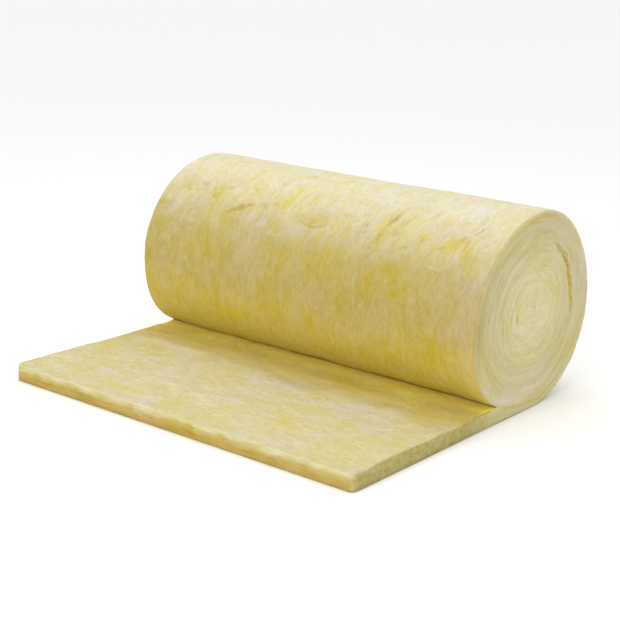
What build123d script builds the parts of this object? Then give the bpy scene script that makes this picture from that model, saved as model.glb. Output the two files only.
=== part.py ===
from build123d import *
import os
from math import cos, radians, sin

os.makedirs("parts", exist_ok=True)

# Insulation roll: one glass wool blanket, wound up with its last stretch unrolled on the floor.
# +X runs across the blanket's width, along the roll. The unrolled tail lies towards -Y.
# The origin is on the floor, under the middle of the roll.

# The blanket: its width, its free thickness and how soft its cut edges are
width = 1200.0
thickness = 50.0
edge_softness = 8.0
corner_softness = 14.0

# How much a turn is squeezed by winding, and what the roll's weight leaves of the tail under it
wrap_squeeze = 4.0
pressed_thickness = 19.0

# The unrolled tail, from its cut end to the crease, and the floor contact's end behind the roll
tail_length = 644.0
contact_end = 33.0

# The roll's outer skin, from the floor behind it, over the top and down to the crease in front.
# The roll has sagged under its own weight, so it is wider than it is high.
heel_radius = 274.3
heel_sweep = 70.0
rear_radius = 269.4
rear_sweep = 50.0
shoulder_radius = 314.4
shoulder_sweep = 60.0
brow_radius = 310.6
brow_sweep = 50.0
front_radius = 289.4
front_sweep = 60.0
toe_sweep = 50.45

# The seam between the turns, a shallow valley in both ends of the roll
seam_width = 6.0
seam_depth = 8.0
seam_overshoot = 1.0

# The crescent on the near end where the third turn has drawn away from the second
gap_turn = 2
gap_foot_angle = 0.0
gap_top_angle = 72.0
gap_outward = 9.0
gap_inward = 6.0
gap_depth = 35.0

# The skin, drawn as seen on the near end: across is +Y and up is +Z
with BuildLine() as skin:
    heel = JernArc((contact_end, 0), (1, 0), heel_radius, heel_sweep)
    rear = JernArc(heel @ 1, heel % 1, rear_radius, rear_sweep)
    shoulder = JernArc(rear @ 1, rear % 1, shoulder_radius, shoulder_sweep)
    brow = JernArc(shoulder @ 1, shoulder % 1, brow_radius, brow_sweep)
    front = JernArc(brow @ 1, brow % 1, front_radius, front_sweep)

    # The toe curls under just as far as the tail's top
    front_turn = heel_sweep + rear_sweep + shoulder_sweep + brow_sweep + front_sweep
    crease_turn = front_turn + toe_sweep
    toe_drop = (front @ 1).Y - thickness
    toe_radius = toe_drop / (cos(radians(crease_turn)) - cos(radians(front_turn)))
    toe = JernArc(front @ 1, front % 1, toe_radius, toe_sweep)
crease = toe @ 1
crease_heading = toe % 1
skin_box = skin.line.bounding_box()

# The core that the turns close in on, and how far the first turn of the seam lies from it:
# below, behind, above and in front
packed_thickness = thickness - wrap_squeeze
core_across = (skin_box.min.X + skin_box.max.X) / 2
core_height = (skin_box.max.Y + pressed_thickness - packed_thickness) / 2
first_reaches = (
    core_height - pressed_thickness,
    skin_box.max.X - packed_thickness - core_across,
    skin_box.max.Y - packed_thickness - core_height,
    core_across - skin_box.min.X - packed_thickness,
)
quarters = 4 * int(min(first_reaches) / packed_thickness) + 2


def seam_reach(quarter: int) -> float:
    """How far the seam lies from the core after so many quarter turns inward."""
    return first_reaches[quarter % 4] - packed_thickness * (quarter // 4)


def gap_point(angle: float, outward: float) -> tuple[float, float]:
    """A point of the sprung gap, by its angle about the core and its distance out from the seam."""
    behind = seam_reach(4 * gap_turn - 3) + outward
    above = seam_reach(4 * gap_turn - 2) + outward
    return (
        core_across + behind * cos(radians(angle)),
        core_height + above * sin(radians(angle)),
    )


def carry_on(path: Edge, forward: float, sideways: float) -> Edge:
    """Carries the seam through a quarter turn, with a straight stretch where it has further to go."""
    if forward > sideways:
        path = Line(path @ 1, (path @ 1) + (path % 1) * (forward - sideways))
    path = JernArc(path @ 1, path % 1, min(forward, sideways), 90)
    if sideways > forward:
        path = Line(path @ 1, (path @ 1) + (path % 1) * (sideways - forward))
    return path


# The seam's path: from the crease it settles onto the pressed tail, then winds in by quarter turns
settle_sweep = 360 - crease_turn
settle_radius = (crease.Y - pressed_thickness) / (1 - cos(radians(settle_sweep)))
with BuildLine(Plane.YZ) as seam:
    start = (crease.X, crease.Y)
    heading = (crease_heading.X, crease_heading.Y)
    path = JernArc(start, heading, settle_radius, settle_sweep)
    settled = path @ 1
    path = carry_on(path, core_across + seam_reach(1) - settled.Y, seam_reach(0))
    for quarter in range(1, quarters):
        path = carry_on(path, seam_reach(quarter + 1), seam_reach(quarter))

# The valley along the seam, open towards +X
with BuildPart() as valley:
    mouth = Plane(origin=seam.line @ 0, x_dir=(1, 0, 0), z_dir=seam.line % 0)
    with BuildSketch(mouth):
        with BuildLine():
            Polyline(
                (seam_overshoot, -seam_width / 2),
                (seam_overshoot, seam_width / 2),
                (-seam_depth, 0),
                close=True,
            )
        make_face()
    sweep(path=seam.line)

# The tail: a flat strip of the blanket, with rounded corners at its cut end
with BuildPart() as tail:
    with BuildSketch():
        with Locations((0, crease.X - tail_length)):
            Rectangle(width, tail_length + corner_softness, align=(Align.CENTER, Align.MIN))
    extrude(amount=thickness)
    fillet(tail.edges().filter_by(Axis.Z).group_by(Axis.Y)[0], corner_softness)
    floor_side = tail.faces().sort_by(Axis.Z)[0]
    upper_side = tail.faces().sort_by(Axis.Z)[-1]
    tail_edges = floor_side.edges() + upper_side.edges()
    fillet(tail_edges.filter_by(lambda edge: (edge @ 0.5).Y < crease.X), edge_softness)

with BuildPart() as blanket:
    # The roll: its section, closed along the floor and under the crease
    with BuildSketch(Plane.YZ):
        with BuildLine():
            add(skin.line)
            Polyline((crease.X, crease.Y), (crease.X, 0), (contact_end, 0))
        make_face()
    extrude(amount=width / 2, both=True)
    roll_ends = blanket.faces().filter_by(Axis.X)
    end_edges = roll_ends.edges()
    rims = end_edges.filter_by(lambda edge: (edge @ 0.5).Y > crease.X or (edge @ 0.5).Z > thickness)
    fillet(rims, edge_softness)

    # Roll and tail are one blanket, with the seam's valley in both ends
    add(tail.part)
    with Locations((width / 2, 0, 0)):
        add(valley.part, mode=Mode.SUBTRACT)
    with Locations((-width / 2, 0, 0)):
        add(mirror(valley.part, about=Plane.YZ, mode=Mode.PRIVATE), mode=Mode.SUBTRACT)

    # The sprung gap on the near end follows one turn of the seam
    gap_middle_angle = (gap_foot_angle + gap_top_angle) / 2
    with BuildSketch(Plane.YZ.offset(width / 2)):
        with BuildLine():
            ThreePointArc(
                gap_point(gap_foot_angle, 0),
                gap_point(gap_middle_angle, gap_outward),
                gap_point(gap_top_angle, 0),
            )
            ThreePointArc(
                gap_point(gap_top_angle, 0),
                gap_point(gap_middle_angle, -gap_inward),
                gap_point(gap_foot_angle, 0),
            )
        make_face()
    extrude(amount=-gap_depth, mode=Mode.SUBTRACT)

blanket.part.label = "glass_wool_blanket"
export_step(blanket.part, "parts/glass_wool_blanket.step")
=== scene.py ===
"""Insulation roll: a glass wool blanket wound into a sagging roll, with its tail lying flat in front.

Everything is in metres, with +X along the roll, the tail towards -Y and the floor at Z = 0.
"""

import logging
from bisect import bisect_left
from dataclasses import dataclass, field, fields, replace
from enum import Enum
from math import atan2, cos, degrees, exp, hypot, pi, radians, sin, tau
from typing import ClassVar, NamedTuple

import bmesh
import bpy
from mathutils import Euler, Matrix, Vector, noise


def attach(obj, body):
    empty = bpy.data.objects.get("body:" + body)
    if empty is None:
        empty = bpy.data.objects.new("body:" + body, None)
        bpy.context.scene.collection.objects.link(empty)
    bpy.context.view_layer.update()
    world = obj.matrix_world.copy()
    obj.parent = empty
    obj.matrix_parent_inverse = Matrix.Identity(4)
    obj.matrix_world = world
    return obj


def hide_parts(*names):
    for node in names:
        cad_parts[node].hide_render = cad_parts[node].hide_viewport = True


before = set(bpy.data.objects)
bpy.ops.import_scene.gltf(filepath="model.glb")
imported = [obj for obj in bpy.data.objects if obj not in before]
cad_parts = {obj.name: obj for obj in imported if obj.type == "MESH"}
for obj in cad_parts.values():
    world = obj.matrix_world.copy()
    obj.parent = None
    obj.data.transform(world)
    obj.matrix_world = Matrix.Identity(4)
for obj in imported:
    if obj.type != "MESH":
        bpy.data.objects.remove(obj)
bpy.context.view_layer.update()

NODE = "glass_wool_blanket"
MILLIMETRE = 0.001
TOUCHING = 1e-5

Pair = tuple[float, float]
Triple = tuple[float, float, float]
Stops = tuple[tuple[float, Triple], ...]
Weights = tuple[tuple[str, float], ...]
Socket = bpy.types.NodeSocket

log = logging.getLogger("insulation_roll")


class Side(Enum):
    """Which part of the blanket's surface a face belongs to; the value is its material's index."""

    FELT = 0
    CUT = 1


class Shade(Enum):
    """The colourings laid over the wool, named by the vertex attribute that holds them."""

    GOLD = "gold"
    ROSE = "rose"
    # Mostly painted light and shade
    LIGHT = "light"


def ease(low: float, high: float, value: float) -> float:
    """Goes smoothly from nought at low to one at high, whichever of the two is greater.

    Args:
        low: where the change starts.
        high: where it ends.
        value: the place.

    Returns:
        The share, from nought to one.
    """
    part = min(max((value - low) / (high - low), 0.0), 1.0)
    return part * part * (3 - 2 * part)


@dataclass(frozen=True)
class Fade:
    """A smooth change along a line, from nothing at low to its full amount at high."""

    amount: float
    low: float
    high: float

    def at(self, value: float) -> float:
        """How much of it there is at a place."""
        return self.amount * ease(self.low, self.high, value)


@dataclass(frozen=True)
class Hump:
    """A smooth hump along a line, with its full amount in its middle."""

    amount: float
    middle: float
    width: float

    def at(self, value: float) -> float:
        """How much of it there is at a place."""
        return self.amount * exp(-((value - self.middle) / self.width) ** 2)


@dataclass(frozen=True)
class Ripple:
    """Random waves.

    Args:
        height: how far they rise and fall.
        pitch: how close they lie along each of their three coordinates.
        start: where in the noise they begin, so that no two kinds of waves are alike.
        octaves: how many sizes of waves there are, or nought for one plain size.
        calm: how much weaker the finer sizes are.
        finer: how much finer each size is than the last.
    """

    height: float
    pitch: Triple
    start: Triple = (0.0, 0.0, 0.0)
    octaves: int = 3
    calm: float = 0.9
    finer: float = 2.0

    def at(self, first: float, second: float = 0.0, third: float = 0.0, shift: float = 0.0) -> float:
        """Works out how far the waves rise at a place.

        Args:
            first: its first coordinate.
            second: its second.
            third: its third.
            shift: added to the third in the noise, for another set of the same waves.

        Returns:
            The rise, below nought for a dip.
        """
        place = Vector((first * self.pitch[0], second * self.pitch[1], third * self.pitch[2] + shift))
        place += Vector(self.start)
        if self.octaves == 0:
            return self.height * noise.noise(place)
        return self.height * noise.fractal(place, self.calm, self.finer, self.octaves)


@dataclass(frozen=True)
class Bend:
    """One arc of the roll's skin.

    Args:
        radius: the arc's radius in metres.
        sweep: how far it turns, in degrees.
    """

    radius: float
    sweep: float


@dataclass
class Winding:
    """The line that the blanket's floor side follows, as seen on the near end.

    It comes in along the floor, goes up behind the roll, over its top and down its front to the
    crease, and from there winds on inward as the seam between the turns.
    """

    thickness: float = 0.050
    packed: float = 0.046
    pressed: float = 0.019
    contact_end: float = 0.033
    trace_start: float = -0.40
    trace_step: float = 0.002
    quarters: int = 20
    closing_sweep: float = 100.0
    bends: tuple[Bend, ...] = (
        Bend(0.2743, 70.0),
        Bend(0.2694, 50.0),
        Bend(0.3144, 60.0),
        Bend(0.3106, 50.0),
        Bend(0.2894, 60.0),
        Bend(0.19751, 50.45),
    )
    turned: list[float] = field(default_factory=list)
    reached: list[float] = field(default_factory=list)
    length: list[float] = field(default_factory=list)

    def __post_init__(self) -> None:
        """Traces the line and notes its angle and distance from the core all along it."""
        skin = self._trace((self.trace_start, 0.0), 0.0, self._skin_stretches())
        self.crease = Vector(skin[-1][:2])
        raised = [number for number, point in enumerate(skin) if point[1] > self.thickness]
        front = min(raised, key=lambda number: skin[number][0])
        foremost = skin[front][0]
        rearmost = max(point[0] for point in skin)
        top = max(point[1] for point in skin)
        self.core = Vector(((foremost + rearmost) / 2, (top + self.pressed - self.packed) / 2))
        below = self.core.y - self.pressed
        behind = rearmost - self.packed - self.core.x
        above = top - self.packed - self.core.y
        self.first_reaches = (below, behind, above, behind)
        seam = self._trace(skin[-1][:2], skin[-1][2], self._seam_stretches())
        self._note(skin + seam[1:])
        self.crease_turn = self.turned[len(skin) - 1]
        self.front_length = self.length[front]
        self.end_turn = self.turned[-1] + self.closing_sweep

    def _note(self, steps: list[Triple]) -> None:
        """Notes the angle wound, the distance from the core and the length run at every step.

        Args:
            steps: every step's across, height and heading.
        """
        last = steps[0]
        offset = Vector(last[:2]) - self.core
        angle = atan2(offset.x, -offset.y)
        travelled = 0.0
        for step in steps:
            offset = Vector(step[:2]) - self.core
            angle += (atan2(offset.x, -offset.y) - angle + pi) % tau - pi
            travelled += hypot(step[0] - last[0], step[1] - last[1])
            last = step
            self.turned.append(degrees(angle))
            self.reached.append(offset.length)
            self.length.append(travelled)

    def _skin_stretches(self) -> list[Pair]:
        """Lists the skin's stretches, each with its length in metres and its sweep in radians."""
        stretches = [(self.contact_end - self.trace_start, 0.0)]
        stretches += [(bend.radius * radians(bend.sweep), radians(bend.sweep)) for bend in self.bends]
        return stretches

    def _reach(self, quarter: int) -> float:
        """How far the seam lies from the core after so many quarter turns."""
        return self.first_reaches[quarter % 4] - self.packed * (quarter // 4)

    def _seam_stretches(self) -> list[Pair]:
        """Lists the seam's stretches, from the crease inward.

        Returns:
            Each stretch's length in metres and its sweep in radians.
        """
        settle = tau - radians(sum(bend.sweep for bend in self.bends))
        radius = (self.crease.y - self.pressed) / (1 - cos(settle))
        stretches = [(radius * settle, settle)]
        forward = self.core.x + self._reach(1) - self.crease.x - radius * sin(settle)
        for quarter in range(self.quarters):
            sideways = self._reach(quarter)
            tight = min(forward, sideways)
            if forward > sideways:
                stretches.append((forward - sideways, 0.0))
            stretches.append((tight * pi / 2, pi / 2))
            if sideways > forward:
                stretches.append((sideways - forward, 0.0))
            forward = self._reach(quarter + 2)
        return stretches

    def _trace(self, start: Pair, heading: float, stretches: list[Pair]) -> list[Triple]:
        """Walks along stretches in short steps.

        Args:
            start: where the walk begins, as across and height.
            heading: the direction at the start, in radians up from across.
            stretches: each stretch's length and sweep.

        Returns:
            Every step's across, height and heading.
        """
        across, height = start
        steps = [(across, height, heading)]
        for length, sweep in stretches:
            count = max(1, round(length / self.trace_step))
            for _ in range(count):
                middle = heading + sweep / count / 2
                across += length / count * cos(middle)
                height += length / count * sin(middle)
                heading += sweep / count
                steps.append((across, height, heading))
        return steps

    def _look_up(self, turn: float, values: list[float]) -> float:
        """Reads a traced value at an angle.

        Args:
            turn: the angle wound so far, in degrees from straight below the core.
            values: one of the traced lists.

        Returns:
            The value there, between its neighbours.
        """
        above = min(max(bisect_left(self.turned, turn), 1), len(self.turned) - 1)
        low, high = self.turned[above - 1], self.turned[above]
        part = (turn - low) / (high - low)
        return values[above - 1] + (values[above] - values[above - 1]) * part

    def reach(self, turn: float) -> float:
        """The line's distance from the core at an angle, closing to nothing at the end."""
        if turn >= self.end_turn:
            return 0.0
        if turn > self.turned[-1]:
            return self.reached[-1] * (self.end_turn - turn) / self.closing_sweep
        return self._look_up(turn, self.reached)

    def run(self, turn: float) -> float:
        """The line's length at an angle."""
        return self._look_up(min(turn, self.turned[-1]), self.length)

    def point(self, turn: float) -> Vector:
        """The line's place at an angle, as across and height."""
        return self.core + self.reach(turn) * Vector((sin(radians(turn)), -cos(radians(turn))))


@dataclass(frozen=True)
class Fold:
    """A crinkle or a streak of colour, drawn through a few points.

    The side on the left of its route slopes gently. The other side is steep, with a groove at its foot.

    Args:
        route: its points, each as the place across and the place up the side that it is drawn on,
            in metres; on the skin, up is counted from the foremost line.
        height: how far it stands out.
        width: how far its flanks spread.
        rose: how pinkish brown its groove is, as painted shade.
        gold: how golden its crest is, below nought for paler.
        light: how much lighter its crest is, as a painted highlight.
    """

    route: tuple[Pair, ...]
    height: float
    width: float
    rose: float = 0.5
    gold: float = 0.0
    light: float = 0.0

    # Along it, in shares of its length: how it swells from its ends, and its random unevenness
    blunt_end: ClassVar[float] = 0.02
    even_share: ClassVar[float] = 0.85
    uneven: ClassVar[Ripple] = Ripple(0.5, (55.0, 55.0, 0.0), (0.0, 0.0, 27.5), octaves=0)

    # Across it, in widths
    flank: ClassVar[float] = 3.0
    steepness: ClassVar[float] = 0.55
    foot: ClassVar[Hump] = Hump(1.0, 1.0, 0.5)
    foot_depth: ClassVar[float] = 0.12

    def near(self, across: float, up: float) -> bool:
        """Whether a place is close enough for the fold to matter."""
        edge = self.flank * self.width
        for place, line in zip((across, up), zip(*self.route)):
            if not min(line) - edge < place < max(line) + edge:
                return False
        return True

    def nearest(self, across: float, up: float) -> tuple[float, bool, float]:
        """Finds the nearest point of the fold.

        Args:
            across: the place across.
            up: the place up.

        Returns:
            How far away it is, whether the place lies left of the route, and how far along the fold
            it is.
        """
        best = (1.0, False, 0.0)
        spans = len(self.route) - 1
        for number, (first, last) in enumerate(zip(self.route, self.route[1:])):
            run_across, run_up = last[0] - first[0], last[1] - first[1]
            part = (across - first[0]) * run_across + (up - first[1]) * run_up
            part = min(max(part / (run_across ** 2 + run_up ** 2), 0.0), 1.0)
            off_across = across - first[0] - run_across * part
            off_up = up - first[1] - run_up * part
            away = hypot(off_across, off_up)
            if away < best[0]:
                best = (away, run_across * off_up > run_up * off_across, (number + part) / spans)
        return best

    def touch(self, across: float, up: float) -> Triple:
        """Works out what the fold does to a place.

        Args:
            across: the place across.
            up: the place up.

        Returns:
            How far the surface stands out, and how strongly the groove and the crest show there.
        """
        away, left, part = self.nearest(across, up)
        apart = away / self.width
        if apart > self.flank:
            return 0.0, 0.0, 0.0
        swell = sin(pi * (self.blunt_end + (1 - 2 * self.blunt_end) * part))
        swell *= self.even_share + self.uneven.at(across, up)
        crest = swell * exp(-apart ** 2)
        if left:
            return self.height * swell * (1 - apart / self.flank) ** 2, 0.0, crest
        groove = self.foot.at(apart)
        profile = exp(-(apart / self.steepness) ** 2) - self.foot_depth * groove
        return self.height * swell * profile, swell * groove, crest


def fold(height: float, width: float, *route: Pair, **colours: float) -> Fold:
    """Makes a fold from sizes and points in millimetres, with Fold's own colours."""
    points = tuple((across * MILLIMETRE, up * MILLIMETRE) for across, up in route)
    return Fold(points, height * MILLIMETRE, width * MILLIMETRE, **colours)


def streak(width: float, *route: Pair, **colours: float) -> Fold:
    """Makes a flat streak of colour from sizes and points in millimetres."""
    return fold(0.0, width, *route, rose=0.0, **colours)


# The folds' light amounts are painted highlights on their crests; their grooves get painted shade
SKIN_FOLDS = (
    fold(
        13, 9, (-355, 200), (-320, 212), (-285, 228), (-255, 243), (-235, 250),
        rose=1.6, gold=-0.2, light=0.12,
    ),
    fold(4, 5, (-300, 235), (-270, 247), (-250, 255), rose=0.6),
    fold(6, 6, (-225, 243), (-200, 247), (-175, 240), rose=0.9, gold=0.3),
    fold(4, 5, (-190, 262), (-165, 262), (-145, 255), rose=0.6),
    fold(5.5, 8, (-60, 232), (-30, 218), (0, 213), (30, 220), (55, 235), rose=1.0, gold=0.4),
    fold(4, 5, (-65, 250), (-45, 238), (-20, 232), (0, 238), rose=0.9, gold=0.2),
    fold(3, 5, (-10, 256), (20, 250), (45, 255)),
    fold(3, 4, (0, 225), (30, 236), (50, 250), gold=0.3),
    fold(8, 7, (265, 355), (252, 320), (240, 275), (226, 225), (218, 180), (215, 145), rose=0.8, gold=0.4),
    fold(6, 6, (295, 330), (285, 290), (268, 250), (258, 215), rose=0.8, gold=0.3),
    fold(5, 6, (335, 228), (360, 238), (385, 240), rose=0.8, gold=0.3),
    fold(
        6, 8, (395, 243), (430, 250), (460, 262), (485, 280), (505, 305), (520, 335),
        gold=-0.2, light=0.06,
    ),
    fold(5, 5, (450, 248), (470, 262), (490, 282), rose=0.4, light=0.06),
    fold(5, 6, (486, 210), (490, 245), (494, 275), rose=0.7),
    fold(4, 5, (465, 166), (445, 158), (420, 160), (405, 168), rose=0.0, gold=-0.4, light=0.14),
    fold(6, 6, (-535, 268), (-510, 258), (-490, 255), rose=0.8, gold=0.4),
    fold(4, 4, (-495, 262), (-465, 266), (-430, 262), light=0.06),
    fold(5, 6, (-485, 292), (-460, 288), (-440, 292), rose=0.8),
    fold(5, 6, (-430, 272), (-400, 280), (-365, 290), (-330, 294), rose=0.7, gold=0.2),
    fold(6, 6, (-595, 190), (-575, 197), (-550, 192), rose=1.0, gold=0.6),
    fold(4, 5, (-580, 175), (-560, 180), (-540, 172), rose=0.8),
    fold(4, 6, (-420, 235), (-405, 250), (-385, 245), (-370, 225), rose=0.4, gold=0.7),
    fold(3, 4, (-335, 176), (-310, 182), (-280, 187), rose=0.3, gold=0.4),
    fold(4, 5, (-280, 310), (-265, 300), (-250, 305), gold=0.5),
    fold(4, 5, (-340, 305), (-325, 325), (-310, 345), rose=0.6),
    fold(4, 5, (-210, 350), (-190, 345), (-170, 352)),
    fold(4, 6, (-160, 405), (-140, 412), (-120, 418), rose=0.9, gold=0.3),
    fold(4, 5, (120, 272), (145, 283), (170, 280)),
    fold(5, 5, (150, 245), (170, 250), (185, 240), rose=1.1),
    fold(4, 5, (150, 215), (165, 225), (190, 232)),
    fold(4, 5, (80, 260), (100, 275), (130, 275)),
    fold(4, 5, (385, 315), (375, 290), (360, 275), rose=0.6),
    fold(4, 5, (375, 355), (355, 330), (345, 300)),
    fold(4, 5, (400, 215), (430, 225), (450, 235)),
    fold(4, 5, (545, 245), (550, 265), (560, 285), rose=0.4, gold=0.3),
    fold(3, 5, (300, 195), (320, 205), (340, 200), rose=0.4),
    fold(3, 5, (300, 225), (280, 200), (270, 175), rose=0.4),
    fold(4, 4, (72, 235), (68, 210), (60, 185), rose=0.3, gold=-0.3, light=0.05),
    streak(10, (-385, 210), (-370, 150), (-352, 90), (-342, 30), gold=0.6),
    streak(14, (-215, 210), (-195, 165), (-205, 110), (-235, 60), (-260, 20), gold=-1.0, light=0.03),
    streak(9, (-190, 220), (-165, 180), (-130, 160), (-90, 155), gold=-1.0, light=0.04),
    streak(11, (-190, 130), (-180, 70), (-160, 10), gold=-0.9, light=0.02),
    streak(12, (-125, 150), (-115, 90), (-105, 50), gold=-0.4),
    fold(1, 5, (50, 0), (70, -20), (90, -30), rose=0.0, gold=-0.6, light=0.04),
    fold(1, 6, (-60, 0), (-20, 12), (30, 18), rose=0.0, gold=-0.5),
    streak(14, (440, 120), (470, 50), (500, -30), (550, -100), gold=-0.35),
    streak(26, (520, 80), (555, -20), (595, -120), gold=-0.6),
)

END_ARCS = (
    streak(
        7, (-110, 370), (-122, 330), (-118, 290), (-100, 255), (-70, 235), (-30, 222),
        gold=-0.3, light=0.03,
    ),
    streak(6, (-100, 345), (-103, 310), (-95, 280), (-80, 255), gold=0.9, light=-0.15),
    streak(7, (-110, 383), (-50, 395), (0, 392), (40, 385), (70, 360), gold=-0.3, light=0.04),
    streak(5, (-90, 372), (-50, 380), (0, 378), (40, 368), gold=0.4, light=-0.05),
    streak(10, (55, 340), (62, 310), (55, 280), gold=-0.5),
    streak(9, (-20, 210), (30, 205), (70, 220), gold=0.5),
    streak(8, (-165, 370), (-178, 320), (-175, 270), (-155, 220), gold=0.4, light=-0.05),
    streak(8, (-235, 370), (-245, 310), (-240, 260), (-220, 200), gold=0.3, light=-0.06),
    streak(8, (100, 380), (120, 330), (115, 280), (90, 230), gold=0.3, light=-0.03),
    streak(5, (-170, 46), (-120, 34), (-50, 26), (20, 22), (90, 22), gold=0.6, light=-0.10),
    streak(10, (-165, 60), (-120, 55), (-80, 60), gold=-0.6, light=0.05),
    streak(10, (-300, 370), (-285, 420), (-250, 465), (-200, 505), gold=0.5, light=-0.08),
    streak(6, (-70, 475), (0, 482), (60, 472), gold=0.5, light=-0.05),
    # Painted highlights on the outer lip of the sprung gap
    streak(6, (216, 345), (212, 325), gold=-1.0, light=0.10),
    streak(5, (214, 300), (208, 285), gold=-1.0, light=0.08),
)


@dataclass(frozen=True)
class Tint:
    """A soft patch of colour on one of the blanket's sides.

    Args:
        shade: which colouring it adds to.
        across: its middle, measured across the picture of that side.
        up: its middle, measured up the picture of that side.
        wide: half its width.
        high: half its height.
        amount: how strongly it colours; below nought it makes the wool less golden or less light.
    """

    shade: Shade
    across: float
    up: float
    wide: float
    high: float
    amount: float

    # Beyond this the patch is too faint to show
    fade_out: ClassVar[float] = 6.0

    def weight(self, across: float, up: float) -> float:
        """How strongly the patch colours a place."""
        away = ((across - self.across) / self.wide) ** 2 + ((up - self.up) / self.high) ** 2
        return self.amount * exp(-away) if away < self.fade_out else 0.0


def tints(shade: Shade, *rows: tuple[float, float, float, float, float]) -> tuple[Tint, ...]:
    """Makes tints of one shade from their places and half sizes in millimetres and their amounts."""
    return tuple(Tint(shade, *(size * MILLIMETRE for size in row[:4]), row[4]) for row in rows)


ROLL_TINTS = tints(
    Shade.GOLD,
    (-595, 0, 20, 60, 0.80), (-580, 190, 20, 12, 0.70), (-385, 245, 22, 25, 0.40),
    (-122, 268, 12, 22, 0.85), (-132, 320, 16, 25, 0.70), (-150, 410, 25, 20, 0.50),
    (245, 230, 18, 90, 0.70), (300, 290, 20, 30, 0.40), (325, 70, 14, 26, 1.20),
    (465, 235, 24, 22, 0.40), (10, 228, 45, 12, 0.60), (360, 240, 20, 10, 0.50),
    (-400, 245, 18, 26, 0.80), (50, -70, 18, 40, 0.90), (60, -20, 12, 30, 0.50),
    (-250, -100, 70, 30, 0.60), (-120, -70, 50, 30, 0.50), (480, -80, 110, 45, 0.60),
    (300, -120, 90, 20, 0.50), (-310, 110, 60, 60, 0.36), (-500, -50, 50, 60, 0.20),
    (130, 250, 60, 50, -0.40), (50, 210, 12, 60, -0.50), (-200, 150, 25, 60, -0.40),
    (-450, 160, 60, 40, -0.40), (460, 390, 60, 50, -0.50), (560, 100, 35, 120, -0.50),
    (585, 0, 22, 200, -0.70), (570, -90, 35, 100, -0.60), (20, 40, 60, 20, -0.24),
    (120, -30, 40, 30, -0.20), (-60, 0, 30, 60, 0.24),
) + tints(
    Shade.ROSE,
    (-400, 320, 120, 40, 0.35), (-520, 300, 60, 40, 0.25), (180, 230, 50, 50, 0.40),
    (450, 310, 80, 30, 0.35), (-120, -130, 60, 30, 0.30), (220, 50, 60, 70, 0.20),
)

TAIL_TINTS = tints(
    Shade.GOLD,
    (-460, -230, 60, 35, 0.90), (170, -290, 50, 30, 0.70), (280, -240, 35, 30, 0.70),
    (240, -340, 50, 20, 0.40), (320, -630, 50, 25, 0.56), (250, -670, 40, 30, 0.44),
    (380, -570, 70, 25, 0.44), (-320, -750, 70, 30, 0.36), (-520, -580, 40, 30, 0.30),
    (520, -740, 40, 40, 0.36), (-420, -450, 50, 25, 0.24), (-330, -410, 60, 30, -0.40),
    (400, -460, 120, 40, -0.30),
) + tints(
    Shade.ROSE,
    (220, -270, 60, 50, 0.45), (330, -310, 50, 40, 0.35), (-100, -240, 120, 40, 0.25),
    (340, -500, 30, 15, 0.35),
)

END_TINTS = tints(
    Shade.GOLD,
    (-290, 340, 30, 140, 0.50), (-260, 440, 50, 60, 0.20), (0, 546, 80, 6, 0.80),
    (-20, 455, 70, 18, 0.40), (-295, 190, 14, 50, -0.60), (-250, 110, 30, 30, -0.50),
    (-160, 65, 60, 16, -0.60), (-108, 300, 8, 65, -0.70), (0, 300, 135, 125, -0.38),
    (45, 100, 60, 25, -0.40), (0, 75, 120, 25, -0.30), (250, 350, 20, 80, -0.40),
    (285, 300, 8, 150, -0.50), (-50, 160, 100, 30, 0.24), (100, 160, 120, 30, 0.20),
    (-30, 35, 150, 10, 0.40),
) + tints(
    Shade.ROSE,
    (0, 545, 80, 7, 0.70), (80, 310, 30, 40, 0.35), (200, 450, 50, 30, 0.20),
) + tints(
    # Painted shade and light: darker over the end's left side, where less light falls, and lighter near its
    # foot; one more tint darkens it just below its top rim
    Shade.LIGHT,
    (0, 520, 100, 30, -0.07), (-290, 300, 28, 130, -0.24), (-240, 420, 40, 60, -0.10),
    (0, 60, 150, 35, 0.08),
)


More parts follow.
